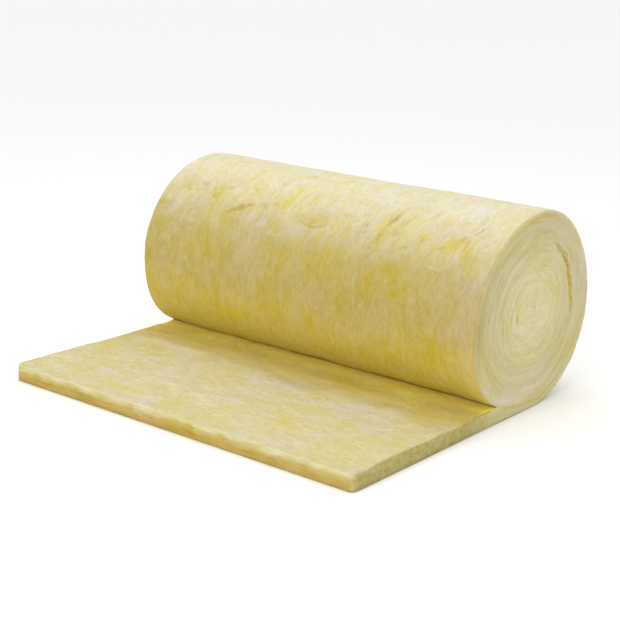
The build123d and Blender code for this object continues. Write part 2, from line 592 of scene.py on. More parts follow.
@dataclass
class Paint:
    """The colouring of one vertex, written to vertex attributes of the same names.

    Args:
        tone: the wool's own tone, from its darkest to its palest.
        gold: how much more golden it is, below nought for paler.
        rose: how pinkish brown it is.
        light: how light it is against its tone, mostly as painted light and shade.
        vary: how strongly its fibres vary.
        crinkle: how crinkled it is, or how frayed on a cut side.
        across: how far its fibres lie across the blanket instead of along it.
    """

    tone: float = 0.5
    gold: float = 0.0
    rose: float = 0.0
    light: float = 1.0
    vary: float = 1.0
    crinkle: float = 0.0
    across: float = 0.0

    # How a fold's groove and crest colour the wool, and how its height lights and crinkles it; the groove's
    # colours and darkening are painted shade, the crest's lightening a painted highlight
    groove_rose: ClassVar[float] = 0.5
    crest_rose: ClassVar[float] = 0.55
    groove_gold: ClassVar[float] = 0.5
    crest_light: ClassVar[float] = 7.0
    groove_dark: ClassVar[float] = 4.0
    full_crinkle: ClassVar[float] = 0.010

    def towards(self, other: "Paint", share: float) -> "Paint":
        """Blends this colouring with another.

        Args:
            other: the other colouring.
            share: how much of the other there is.

        Returns:
            The blend.
        """
        blend = Paint()
        for item in fields(Paint):
            own = getattr(self, item.name)
            setattr(blend, item.name, own + (getattr(other, item.name) - own) * share)
        return blend

    def lay(self, patches: tuple[Tint, ...], across: float, up: float) -> None:
        """Adds tints.

        Args:
            patches: the tints of one side.
            across: the place across that side.
            up: the place up that side.
        """
        for tint in patches:
            name = tint.shade.value
            setattr(self, name, getattr(self, name) + tint.weight(across, up))

    def draw(self, folds: tuple[Fold, ...], across: float, up: float) -> None:
        """Adds the colours of folds and streaks.

        Args:
            folds: the folds of one side.
            across: the place across that side.
            up: the place up that side.
        """
        for line in folds:
            if line.near(across, up):
                _, groove, crest = line.touch(across, up)
                # Painted shade in the groove and a painted highlight on the crest
                self.rose += line.rose * (self.groove_rose * groove + self.crest_rose * crest)
                self.gold += line.gold * crest + self.groove_gold * line.rose * groove
                self.light += (line.light + self.crest_light * line.height) * crest
                self.light -= self.groove_dark * line.height * groove
                self.crinkle += min(line.height / self.full_crinkle, 1.0) * crest


@dataclass(frozen=True)
class Relief:
    """How the wool's surface rises and falls, and where each unevenness fades."""

    # All over, apart from where the blanket presses on the floor
    off_floor: Fade = Fade(1.0, 0.004, 0.024)
    swell: Ripple = Ripple(0.0035, (3.5, 3.5, 3.5), calm=1.0)
    grain: Ripple = Ripple(0.0012, (28.0, 28.0, 28.0), (3.0, 1.0, 7.0), finer=2.1)

    # Low on the roll's front, where it sags into hollows over the crease
    hollows: Ripple = Ripple(0.006, (9.0, 0.0, 0.0), (0.0, 2.0, 2.0), calm=0.8)
    hollows_end: Fade = Fade(1.0, 0.105, 0.055)

    # Where the skin starts above the tail, and the slack in telling the tail from the roll
    skin_above: float = 0.005
    tail_slack: float = 0.001

    # Near the tail's edges, by the distance from them, and on its cut end
    tail_clearance: float = 0.02
    fray: Ripple = Ripple(0.0014, (16.0, 16.0, 0.0), (0.0, 0.0, 4.0))
    fray_ends: Fade = Fade(1.0, 0.03, 0.0)
    torn: Ripple = Ripple(0.0042, (24.0, 24.0, 0.0), (0.0, 0.0, 8.0), calm=0.8, finer=2.1)
    torn_ends: Fade = Fade(1.0, 0.022, 0.004)

    # On the roll's ends, by the direction from the core and the depth through the layers
    layers: Ripple = Ripple(0.0013, (1.5, 1.5, 120.0), calm=0.8)
    turns: Ripple = Ripple(0.003, (1.5, 1.5, 21.0), octaves=0)
    turns_shift: float = 5.0
    seam_depth: float = 0.0008
    seam_uneven: Ripple = Ripple(0.0022, (4.0, 4.0, 9.0), octaves=0)
    seam_share: float = 0.1
    off_core: Fade = Fade(1.0, 0.02, 0.08)

    # How far the folds and their colours wander from their routes
    wander_pitch: float = 30.0
    wander_depth: float = 0.3
    wander: float = 0.004


class Opening(NamedTuple):
    """How the sprung gap affects a point of the near end.

    Args:
        wide: how far the gap is open there, from nought to one.
        off_seam: how far the seam lies.
        within: whether the point lies inward of it.
        turn: the angle of the seam there.
    """

    wide: float
    off_seam: float
    within: bool
    turn: float


@dataclass(frozen=True)
class SprungGap:
    """The crescent on the near end, where one turn has drawn away from the next."""

    start: float = 800.0
    end: float = 872.0
    bluntness: float = 0.7
    depth: float = 0.040
    outward: float = 0.0030
    inward: float = 0.0042
    reach: float = 0.018
    wander: Ripple = Ripple(0.007, (0.12, 0.0, 0.0), (0.0, 5.5, 0.0), calm=0.8)
    wander_reach: float = 0.020
    ragged: Ripple = Ripple(1.0, (0.16, 1.0, 0.0), calm=0.8)
    ragged_rows: Pair = (3.0, 8.0)
    least_spread: float = 0.1
    even_spread: float = 0.8
    ragged_spread: float = 1.6
    inner_sink: float = 0.013
    outer_sink: float = 0.003
    sink_reach: float = 0.014
    ragged_sink: float = 0.6
    fine_within: float = 0.004

    def opening(self, turn: float, through: float, packed: float) -> Opening:
        """Works out how the gap affects a point.

        Args:
            turn: the angle wound at the point.
            through: its share of the way through the blanket.
            packed: the thickness of one turn.

        Returns:
            The gap's opening there.
        """
        inside = through > 0.5
        seam_turn = turn + (360 if inside else 0)
        part = (seam_turn - self.start) / (self.end - self.start)
        wide = sin(pi * part) ** self.bluntness if 0 < part < 1 else 0.0
        share = 1 - through if inside else through
        return Opening(wide, share * packed, not inside, seam_turn)

    def move(self, opening: Opening, away: Vector) -> Vector:
        """Works out how far a point moves as the gap opens.

        Args:
            opening: the gap's opening at the point.
            away: the direction from the eye of the rings, as across and height.

        Returns:
            The point's move.
        """
        wide, off_seam, within, turn = opening
        if wide == 0:
            return Vector((0, 0, 0))
        wander = self.wander.at(turn) * wide
        if off_seam < TOUCHING:
            return Vector((-self.depth * wide, away.x * wander, away.y * wander))
        ragged = self.ragged.at(turn, self.ragged_rows[within])
        spread = -self.inward if within else self.outward
        spread *= wide * exp(-off_seam / self.reach)
        spread *= max(self.least_spread, self.even_spread + self.ragged_spread * ragged)
        spread += wander * exp(-off_seam / self.wander_reach)
        sink = self.inner_sink if within else self.outer_sink
        sink *= wide * exp(-off_seam / self.sink_reach) * (1 + self.ragged_sink * ragged)
        return Vector((-sink, away.x * spread, away.y * spread))


@dataclass(frozen=True)
class Colouring:
    """How the wool's colours change over the blanket's sides."""

    # All over: how far patches shift, by pitch and distance, and a mottling in gold and rose
    shifts: tuple[Pair, ...] = ((14.0, 0.022), (55.0, 0.012))
    mottle: Ripple = Ripple(1.0, (7.0, 7.0, 7.0), (9.0, 2.0, 4.0), octaves=4, calm=1.0)
    mottle_gold: float = 0.42
    mottle_rose: float = 0.2

    # The cut end, from its foot to its top
    cut_foot: ClassVar[Paint] = Paint(0.02, gold=0.10, rose=0.9, light=1.03, vary=2.0, crinkle=1.0)
    cut_top: ClassVar[Paint] = Paint(0.82, light=0.83, vary=0.6, crinkle=1.0)
    cut_rises: Fade = Fade(1.0, 0.018, 0.047)
    cut_wander: Ripple = Ripple(0.006, (20.0, 20.0, 0.0), (0.0, 0.0, 6.0), octaves=2)
    # Painted contact shadow: darker in the last few millimetres above the floor
    floor_line: Fade = Fade(-0.10, 0.010, 0.001)

    # The tail's sides, from well in front to beside the roll
    side_front: ClassVar[Paint] = Paint(0.3, gold=-0.14, rose=0.1, light=0.88, crinkle=1.0)
    side_back: ClassVar[Paint] = Paint(0.7, rose=0.1, light=0.88)
    beside_roll: Fade = Fade(1.0, 0.16, 0.0)
    # Painted shade: the sides are darker towards the floor and lighter going up
    side_lights: tuple[Fade, ...] = (Fade(0.12, 0.002, 0.028), Fade(0.06, 0.028, 0.048))
    side_gold: Fade = Fade(-0.25, 0.025, 0.048)

    # The tail's top, by the distance from the crease, which wanders further out. Its dark tone in the crease
    # is a painted shadow line, its light is painted in bands in front of the crease, and it gets painted
    # shade along the cut end.
    top_wool: ClassVar[Paint] = Paint(0.0, vary=0.9, crinkle=0.1, across=1.0)
    wander: Ripple = Ripple(1.0, (4.0, 7.0, 0.0), (0.0, 0.0, 6.0))
    wander_grows: Fade = Fade(1.0, 0.02, 0.12)
    shade_wander: float = 0.035
    crease_tone: Fade = Fade(0.05, 0.002, 0.009)
    shade_tone: Fade = Fade(0.77, 0.03, 0.28)
    top_lights: tuple[Hump, ...] = (Hump(0.26, 0.185, 0.045), Hump(0.07, 0.022, 0.018))
    cut_shade: Fade = Fade(-0.13, 0.035, -0.005)
    band_wander: float = 0.10
    top_golds: tuple[Hump, ...] = (Hump(0.22, 0.205, 0.045), Hump(-0.22, 0.125, 0.03))
    patchy: Ripple = Ripple(1.0, (7.0, 13.0, 0.0), (0.0, 0.0, 2.0))
    patch_paleness: float = 0.28
    patches_end: Fade = Fade(1.0, 0.30, 0.16)

    # The roll's ends, by the distance from the eye of the rings and from the sprung gap
    end_tone: float = 1.0
    ring_tone: Fade = Fade(-0.30, 0.06, 0.22)
    end_shift: float = 0.5
    arc_shift: float = 0.15
    # Painted shade: the gap's inner slope turns orange-brown, most strongly at the seam
    torn_pitch: float = 30.0
    torn_gold: float = 1.4
    torn_rose: float = 1.8
    torn_reach: float = 0.026
    # Painted highlights along the gap's two rims, the outer one also paler
    inner_rim: Hump = Hump(0.10, 0.014, 0.010)
    outer_rim: Hump = Hump(0.10, 0.006, 0.004)
    outer_paleness: float = 6.0

    # The roll's skin, by the height above its foremost line and above the tail
    skin_tone: float = 0.5
    # Partly the wool's own colour and partly painted light: paler towards the skin's lit top, and low down
    # the brighter golden tones that offset the shade over the crease
    skin_tones: tuple[Fade, ...] = (Fade(0.5, 0.04, 0.40), Fade(-0.28, 0.04, -0.20))
    skin_vary: float = 1.25
    calmer_above: Fade = Fade(-0.6, 0.08, 0.42)
    # Painted shadow: the skin's tone falls to the dark crease line just above the tail
    above_crease: Fade = Fade(1.0, 0.0, 0.008)
    least_crinkle: float = 0.2
    crinkle_starts: Fade = Fade(0.8, 0.08, 0.18)
    crinkle_ends: Fade = Fade(1.0, 0.46, 0.34)


@dataclass
class WoundBlanket:
    """The whole blanket: roll and tail, as one closed skin whose ends follow the spiral."""

    name: str = "glass_wool_blanket_wound"
    width: float = 1.2
    tail_end: float = -0.81405
    winding: Winding = field(default_factory=Winding)
    gap: SprungGap = SprungGap()
    relief: Relief = Relief()
    colouring: Colouring = Colouring()

    # The mesh: how it is divided, and how close its vertices lie before they are merged
    stations_a_turn: int = 250
    tail_stations: int = 84
    columns: int = 150
    rows: tuple[float, ...] = (0.0, 0.05, 0.13, 0.26, 0.42, 0.58, 0.74, 0.87, 0.95, 1.0)
    weld: float = 2e-5
    core_weld: float = 0.0015
    fine_cuts: int = 2
    close_edges: float = 0.045
    crowding: float = 1.6
    floor_inset: float = 0.03
    fine_fold: float = 0.002
    fine_widths: float = 1.3
    fine_beside: float = 0.005
    fine_above: float = 0.01

    # The eye of the rings, drawn away from the seam's core
    eye_shift: Pair = (-0.006, 0.030)
    eye_spread: float = 0.28
    eye_focus: float = 1.5

    # How round the cut edges are, and over which distances one roundness passes into another
    rim_radius: float = 0.010
    torn_radius: float = 0.015
    floor_radius: float = 0.004
    corner_radius: float = 0.015
    crease_radius: float = 0.002
    leaves_crease: Fade = Fade(1.0, 0.0, 0.04)
    leaves_floor: Fade = Fade(1.0, 0.0, 0.06)
    leaves_tail: Fade = Fade(1.0, 0.0, 0.05)
    same_turn: float = 1e-3

    # Where the tail's colours pass into the roll's
    tail_above: float = 0.006
    tail_behind: float = 0.004
    crease_depth: float = 0.004
    crease_width: float = 0.003

    def build(self) -> bpy.types.Object:
        """Builds the blanket's mesh.

        Returns:
            The new object, without materials.
        """
        mesh = bmesh.new()
        new_layer = mesh.verts.layers.float.new
        self.through, self.turn, self.run, self.lamina = map(new_layer, ("through", "turn", "run", "lamina"))
        self.paints = {item.name: new_layer(item.name) for item in fields(Paint)}
        self.eye = self.winding.core + Vector(self.eye_shift)
        self._lay_end(mesh)
        self._extrude_width(mesh)
        self._close_floor(mesh)
        self._refine(mesh)
        self.end_verts = {vert for vert in mesh.verts if self._in_end(vert)}
        self._round_rims(mesh)
        self._raise_relief(mesh)
        self._colour(mesh)
        return new_object(self.name, mesh)

    def _section(self, station: int) -> tuple[Vector, Vector, float, float]:
        """Finds the blanket's section line at a station.

        Args:
            station: counted from the crease's foot, below nought along the tail.

        Returns:
            The line's floor side and inner side, the angle wound and the length run.
        """
        line = self.winding
        first_turn = line.crease_turn - 360
        if station >= 0:
            turn = first_turn + station * 360 / self.stations_a_turn
            return line.point(turn), line.point(turn + 360), turn, line.run(turn)
        span = line.crease.x - self.tail_end
        part = 1 - self._crowded(span * (1 + station / self.tail_stations)) / span
        foot = line.point(first_turn)
        floor = Vector((foot.x + (self.tail_end - foot.x) * part, 0.0))
        top = Vector((line.crease.x + (self.tail_end - line.crease.x) * part, line.thickness))
        return floor, top, first_turn, line.run(first_turn) + (floor.x - foot.x)

    def _crowded(self, from_edge: float) -> float:
        """Draws a distance from a cut edge closer to it, for more vertices where the edge is round."""
        if from_edge >= self.close_edges:
            return from_edge
        return self.close_edges * (max(from_edge, 0.0) / self.close_edges) ** self.crowding

    def _lay_end(self, mesh: bmesh.types.BMesh) -> None:
        """Lays the near end face as a flat strip and winds it, from the tail's cut end to the core.

        Args:
            mesh: the mesh, still empty.
        """
        wound = (self.winding.end_turn - self.winding.crease_turn + 360) / 360
        stations = self.tail_stations + int(wound * self.stations_a_turn) + 1
        layers = len(self.rows) - 1
        strip = bmesh.ops.create_grid(mesh, x_segments=stations, y_segments=layers, size=0.5)["verts"]
        sections = {}
        for vert in strip:
            station = round((vert.co.x + 0.5) * stations) - self.tail_stations
            share = self.rows[round((vert.co.y + 0.5) * layers)]
            if station not in sections:
                sections[station] = self._section(station)
            floor, inner, turn, run = sections[station]
            spot = floor.lerp(inner, share)
            vert.co = (self.width / 2, spot.x, spot.y)
            vert[self.through] = share
            vert[self.turn] = turn
            vert[self.run] = run
            vert[self.lamina] = self.winding.packed * (turn / 360 + share)
        bmesh.ops.remove_doubles(mesh, verts=mesh.verts, dist=self.weld)
        core = self.winding.core
        off_core = {vert: hypot(vert.co.y - core.x, vert.co.z - core.y) for vert in mesh.verts}
        middle = [vert for vert, off in off_core.items() if off < self.core_weld]
        bmesh.ops.pointmerge(mesh, verts=middle, merge_co=(self.width / 2, core.x, core.y))
        bmesh.ops.dissolve_degenerate(mesh, dist=self.weld, edges=mesh.edges)
        for vert in mesh.verts:
            off = hypot(vert.co.y - core.x, vert.co.z - core.y)
            inward = max(0.0, 1 - off / self.eye_spread) ** self.eye_focus
            vert.co.y += self.eye_shift[0] * inward
            vert.co.z += self.eye_shift[1] * inward

    def _extrude_width(self, mesh: bmesh.types.BMesh) -> None:
        """Extrudes the end's outline along the roll and closes it with the far end.

        Args:
            mesh: the mesh, holding the near end face.
        """
        bmesh.ops.recalc_face_normals(mesh, faces=mesh.faces)
        near = list(mesh.verts) + list(mesh.edges) + list(mesh.faces)
        outline = [edge for edge in mesh.edges if edge.is_boundary]
        copied = bmesh.ops.duplicate(mesh, geom=near)["geom"]
        grown = bmesh.ops.extrude_edge_only(mesh, edges=outline)["geom"]
        far = [item for item in copied + grown if isinstance(item, bmesh.types.BMVert)]
        bmesh.ops.translate(mesh, verts=far, vec=(-self.width, 0, 0))
        bmesh.ops.remove_doubles(mesh, verts=far, dist=self.weld)
        long_edges = [edge for edge in mesh.edges if edge.calc_length() > self.width / 2]
        bmesh.ops.subdivide_edges(mesh, edges=long_edges, cuts=self.columns - 1, use_grid_fill=True)
        for vert in mesh.verts:
            reach = self.width / 2 - self._crowded(self.width / 2 - abs(vert.co.x))
            vert.co.x = reach if vert.co.x > 0 else -reach
        bmesh.ops.recalc_face_normals(mesh, faces=mesh.faces)
        for face in mesh.faces:
            centre = face.calc_center_median()
            cut = abs(centre.x) > self.width / 2 - TOUCHING or centre.y < self.tail_end + TOUCHING
            face.material_index = (Side.CUT if cut else Side.FELT).value

    def _close_floor(self, mesh: bmesh.types.BMesh) -> None:
        """Joins the faces that lie flat on the floor into one.

        Args:
            mesh: the closed mesh.
        """
        inner = self.width / 2 - self.floor_inset
        front = self.tail_end + self.floor_inset
        back = self.winding.contact_end - self.floor_inset
        flat = [
            face for face in mesh.faces
            if all(
                vert.co.z < TOUCHING and abs(vert.co.x) < inner and front < vert.co.y < back
                for vert in face.verts
            )
        ]
        bmesh.ops.dissolve_faces(mesh, faces=flat, use_verts=True)

    def _refine(self, mesh: bmesh.types.BMesh) -> None:
        """Divides the faces under the folds and beside the sprung gap more finely.

        Args:
            mesh: the closed mesh.
        """
        near = set()
        for face in mesh.faces:
            if self._wants_detail(face):
                near.update(face.edges)
        bmesh.ops.subdivide_edges(mesh, edges=list(near), cuts=self.fine_cuts, use_grid_fill=True)
        for face in mesh.faces:
            face.smooth = True

    def _opening(self, vert: bmesh.types.BMVert) -> Opening:
        """How the sprung gap affects a vertex of the near end."""
        return self.gap.opening(vert[self.turn], vert[self.through], self.winding.packed)

    def _wants_detail(self, face: bmesh.types.BMFace) -> bool:
        """Whether a face lies under a fold or beside the sprung gap."""
        centre = face.calc_center_median()
        if face.material_index == Side.CUT.value:
            if centre.x < 0 or len(face.verts) > 4:
                return False
            openings = [self._opening(vert) for vert in face.verts]
            closest = min(opening.off_seam for opening in openings)
            return closest < self.gap.fine_within and all(opening.wide > 0 for opening in openings)
        if centre.z < self.winding.thickness + self.fine_above:
            return False
        if abs(centre.x) > self.width / 2 - self.close_edges:
            return False
        up = self.winding.front_length - sum(vert[self.run] for vert in face.verts) / len(face.verts)
        return any(
            line.height > self.fine_fold and line.near(centre.x, up)
            and line.nearest(centre.x, up)[0] < self.fine_widths * line.width + self.fine_beside
            for line in SKIN_FOLDS
        )

    def _round_rims(self, mesh: bmesh.types.BMesh) -> None:
        """Rounds the cut edges, less where they lie on the floor.

        Args:
            mesh: the closed mesh.
        """
        line = self.winding
        for vert in mesh.verts:
            spot = vert.co
            in_tail = spot.z < line.thickness + TOUCHING and spot.y < line.crease.x + TOUCHING
            if in_tail or (spot.z < line.pressed and spot.y < line.contact_end):
                self._round_slab(spot)
            elif vert[self.turn] < line.crease_turn + self.same_turn:
                self._round_roll(vert)

    @staticmethod
    def _rounded(first: float, second: float) -> Pair:
        """Draws a place in a square corner in to a round one, given how far out it is both ways."""
        if first <= 0 or second <= 0:
            return first, second
        share = max(first, second) / hypot(first, second)
        return first * share, second * share

    def _round_slab(self, spot: Vector) -> None:
        """Rounds a flat stretch of the blanket at one of its points.

        Args:
            spot: the point, which is moved.
        """
        line = self.winding
        inner_x = self.width / 2 - self.corner_radius
        inner_y = self.tail_end + self.corner_radius
        out_x, out_y = self._rounded(abs(spot.x) - inner_x, inner_y - spot.y)
        out = hypot(max(out_x, 0.0), max(out_y, 0.0))
        if out == 0:
            return
        above = spot.z > line.thickness / 2
        if above:
            towards_end = (max(out_y, 0.0) / out) ** 2
            full = self.rim_radius + (self.torn_radius - self.rim_radius) * towards_end
            leaving = self.leaves_crease.at(line.crease.x - spot.y)
            radius = self.crease_radius + (full - self.crease_radius) * leaving
            over = spot.z - (line.thickness - radius)
        else:
            radius = self.floor_radius
            over = radius - spot.z
        sideways, over = self._rounded(out - (self.corner_radius - radius), over)
        share = (sideways + self.corner_radius - radius) / out
        if out_x > 0:
            reach = inner_x + out_x * share
            spot.x = reach if spot.x > 0 else -reach
        if out_y > 0:
            spot.y = inner_y - out_y * share
        if over > 0:
            spot.z = line.thickness - radius + over if above else radius - over

    def _round_roll(self, vert: bmesh.types.BMVert) -> None:
        """Rounds the roll's rim at one of its vertices.

        Args:
            vert: a vertex of the outermost turn, which is moved.
        """
        line = self.winding
        spot, turn = vert.co, vert[self.turn]
        out = (Vector((spot.y, spot.z)) - line.core).normalized()
        depth = vert[self.through] * (line.reach(turn) - line.reach(turn + 360))
        if spot.y > line.core.x:
            least, leaving = self.floor_radius, self.leaves_floor.at(spot.y - line.contact_end)
        else:
            least, leaving = self.crease_radius, self.leaves_tail.at(spot.z - line.thickness)
        radius = least + (self.rim_radius - least) * leaving
        sideways, over = self._rounded(abs(spot.x) - (self.width / 2 - radius), radius - depth)
        if sideways <= 0 or over <= 0:
            return
        reach = self.width / 2 - radius + sideways
        spot.x = reach if spot.x > 0 else -reach
        drop = radius - over - depth
        spot.y -= out.x * drop
        spot.z -= out.y * drop

    def _raise_relief(self, mesh: bmesh.types.BMesh) -> None:
        """Raises swells, folds, laminations and the sprung gap.

        Args:
            mesh: the closed mesh.
        """
        mesh.normal_update()
        moves = {
            vert: self._end_move(vert) if vert in self.end_verts else self._skin_move(vert)
            for vert in mesh.verts
        }
        for vert, move in moves.items():
            vert.co += move

    def _in_end(self, vert: bmesh.types.BMVert) -> bool:
        """Whether a vertex lies inside one of the roll's end faces, away from the rim."""
        return all(face.material_index == Side.CUT.value for face in vert.link_faces) and (
            abs(vert.co.x) > self.width / 2 - TOUCHING
        )

    def _wandered(self, vert: bmesh.types.BMVert) -> Pair:
        """A skin vertex's place along the roll and up its skin, shifted a little at random."""
        along, up = vert.co.x, self.winding.front_length - vert[self.run]
        relief = self.relief
        place = Vector((along, up, relief.wander_depth)) * relief.wander_pitch
        shift = noise.noise_vector(place) * relief.wander
        return along + shift.x, up + shift.y

    def _skin_move(self, vert: bmesh.types.BMVert) -> Vector:
        """Works out how far a point of the skin or the tail moves.

        Args:
            vert: a vertex outside the end faces.

        Returns:
            Its move.
        """
        spot, line, relief = vert.co, self.winding, self.relief
        rise = relief.swell.at(*spot) + relief.grain.at(*spot)
        if spot.z > line.thickness + relief.skin_above:
            along, up = self._wandered(vert)
            rise += sum(crinkle.touch(along, up)[0] for crinkle in SKIN_FOLDS if crinkle.near(along, up))
            if spot.y < 0:
                rise -= max(0.0, relief.hollows.at(spot.x)) * relief.hollows_end.at(spot.z)
        elif spot.y < line.crease.x - relief.tail_clearance:
            from_edge = min(self.width / 2 - abs(spot.x), spot.y - self.tail_end)
            rise += relief.fray.at(spot.x, spot.y) * relief.fray_ends.at(from_edge)
            rise += relief.torn.at(spot.x, spot.z) * relief.torn_ends.at(spot.y - self.tail_end)
        return vert.normal * rise * relief.off_floor.at(spot.z)

    def _end_move(self, vert: bmesh.types.BMVert) -> Vector:
        """Works out how far a point of an end face moves.

        Args:
            vert: a vertex inside an end face.

        Returns:
            Its move.
        """
        spot, line, relief = vert.co, self.winding, self.relief
        outward = 1.0 if spot.x > 0 else -1.0
        offset = Vector((spot.y, spot.z)) - self.eye
        if offset.length < TOUCHING:
            return Vector((0, 0, 0))
        away = offset.normalized()
        place = (away.x, away.y, vert[self.lamina])
        rise = relief.layers.at(*place, shift=outward)
        rise += relief.turns.at(*place, shift=relief.turns_shift * outward)
        in_tail = spot.z < line.thickness + relief.tail_slack and spot.y < line.crease.x
        if not in_tail:
            share = min(vert[self.through], 1.0 - vert[self.through])
            seam = max(0.0, 1.0 - share / relief.seam_share) * relief.off_core.at(offset.length)
            rise -= max(0.0, relief.seam_depth + relief.seam_uneven.at(*place, shift=outward)) * seam
        move = Vector((outward * rise, 0, 0))
        if outward > 0:
            move += self.gap.move(self._opening(vert), away)
        return move

    def _colour(self, mesh: bmesh.types.BMesh) -> None:
        """Writes every vertex's colouring.

        Args:
            mesh: the shaped mesh.
        """
        line, looks = self.winding, self.colouring
        for vert in mesh.verts:
            spot = vert.co
            shift = Vector()
            for pitch, distance in looks.shifts:
                shift += noise.noise_vector(spot * pitch) * distance
            if spot.z < line.thickness + self.tail_above and spot.y < line.crease.x + self.tail_behind:
                paint = self._tail_paint(vert, shift)
            elif vert in self.end_verts:
                paint = self._end_paint(vert, shift)
            else:
                paint = self._skin_paint(vert, shift)
            mottle = looks.mottle.at(*spot)
            paint.gold += looks.mottle_gold * mottle * paint.vary
            paint.rose += looks.mottle_rose * max(0.0, -mottle)
            for name, layer in self.paints.items():
                vert[layer] = getattr(paint, name)

    def _tail_paint(self, vert: bmesh.types.BMVert, shift: Vector) -> Paint:
        """Colours a point of the tail.

        Args:
            vert: the vertex.
            shift: how far the patches are shifted there.

        Returns:
            Its colouring.
        """
        spot = vert.co
        off_crease = self.winding.crease.x - spot.y
        upright = vert.normal.z < 0.5
        sideways = abs(vert.normal.x) >= 0.5
        in_crease = off_crease < self.crease_width and spot.z > self.winding.thickness - self.crease_depth
        if upright and sideways:
            return self._tail_side_paint(spot, off_crease)
        if upright and not in_crease:
            return self._cut_end_paint(spot)
        return self._tail_top_paint(spot, off_crease, shift)

    def _cut_end_paint(self, spot: Vector) -> Paint:
        """Colours a point of the tail's cut end."""
        looks = self.colouring
        paint = looks.cut_foot.towards(
            looks.cut_top, looks.cut_rises.at(spot.z + looks.cut_wander.at(spot.x, spot.z))
        )
        # Painted contact shadow at the floor
        paint.light += looks.floor_line.at(spot.z)
        return paint

    def _tail_side_paint(self, spot: Vector, off_crease: float) -> Paint:
        """Colours a point of the tail's side, given how far in front of the crease it lies."""
        looks = self.colouring
        paint = looks.side_front.towards(looks.side_back, looks.beside_roll.at(off_crease))
        # Painted shade, darker towards the floor
        paint.light += sum(fade.at(spot.z) for fade in looks.side_lights)
        paint.gold += looks.side_gold.at(spot.z)
        return paint

    def _tail_top_paint(self, spot: Vector, off_crease: float, shift: Vector) -> Paint:
        """Colours a point of the tail's top.

        Args:
            spot: the point.
            off_crease: how far in front of the crease it lies.
            shift: how far the patches are shifted there.

        Returns:
            Its colouring.
        """
        looks = self.colouring
        wander = looks.wander.at(spot.x, spot.y) * looks.wander_grows.at(off_crease)
        off_shade = off_crease + looks.shade_wander * wander
        off_band = off_crease + looks.band_wander * wander
        paint = replace(looks.top_wool)
        # A painted shadow line in the crease, then painted light in bands in front of it and painted shade
        # along the cut end
        paint.tone += looks.crease_tone.at(off_crease) + looks.shade_tone.at(off_shade)
        paint.light += sum(hump.at(off_crease) for hump in looks.top_lights)
        paint.light += looks.cut_shade.at(spot.y - self.tail_end)
        paint.gold += sum(hump.at(off_band) for hump in looks.top_golds)
        patchy = looks.patchy.at(spot.x, spot.y) - looks.patch_paleness
        paint.gold += patchy * looks.patches_end.at(off_shade)
        paint.lay(TAIL_TINTS, spot.x + shift.x, spot.y + shift.y)
        return paint

    def _end_paint(self, vert: bmesh.types.BMVert, shift: Vector) -> Paint:
        """Colours a point of an end face.

        Args:
            vert: the vertex.
            shift: how far the patches are shifted there.

        Returns:
            Its colouring.
        """
        spot, looks = vert.co, self.colouring
        off_eye = hypot(spot.y - self.eye.x, spot.z - self.eye.y)
        paint = Paint(looks.end_tone + looks.ring_tone.at(off_eye))
        if spot.x < 0:
            return paint
        paint.lay(END_TINTS, spot.y + shift.y * looks.end_shift, spot.z + shift.z * looks.end_shift)
        paint.draw(END_ARCS, spot.y + shift.y * looks.arc_shift, spot.z + shift.z * looks.arc_shift)
        wide, off_seam, within, _ = self._opening(vert)
        if within:
            # Painted shade on the gap's inner slope
            torn = wide * (1 + noise.noise(spot * looks.torn_pitch)) * exp(-off_seam / looks.torn_reach)
            paint.gold += looks.torn_gold * torn
            paint.rose += looks.torn_rose * torn
            # Painted highlight on the inner rim
            paint.light += looks.inner_rim.at(off_seam) * wide
        else:
            # Painted highlight on the outer rim
            rim = looks.outer_rim.at(off_seam) * wide
            paint.light += rim
            paint.gold -= looks.outer_paleness * rim
        return paint

    def _skin_paint(self, vert: bmesh.types.BMVert, shift: Vector) -> Paint:
        """Colours a point of the roll's skin.

        Args:
            vert: the vertex.
            shift: how far the patches are shifted there.

        Returns:
            Its colouring.
        """
        looks = self.colouring
        along, rolled_up = self._wandered(vert)
        height = rolled_up + shift.z
        paint = Paint(looks.skin_tone, vary=looks.skin_vary + looks.calmer_above.at(height))
        paint.tone += sum(fade.at(height) for fade in looks.skin_tones)
        # Painted shadow line where the skin meets the tail
        if vert.co.y < 0:
            paint.tone *= looks.above_crease.at(vert.co.z - self.winding.thickness)
        crinkle = looks.crinkle_starts.at(height) * looks.crinkle_ends.at(height)
        paint.crinkle = looks.least_crinkle + crinkle
        paint.draw(SKIN_FOLDS, along, rolled_up)
        paint.lay(ROLL_TINTS, along + shift.x, rolled_up + shift.y)
        return paint


def new_object(name: str, mesh: bmesh.types.BMesh) -> bpy.types.Object:
    """Turns a bmesh into an object of the scene.

    Args:
        name: the object's name.
        mesh: the finished mesh, which is freed.

    Returns:
        The object.
    """
    data = bpy.data.meshes.new(name)
    mesh.to_mesh(data)
    mesh.free()
    made = bpy.data.objects.new(name, data)
    bpy.context.scene.collection.objects.link(made)
    return made


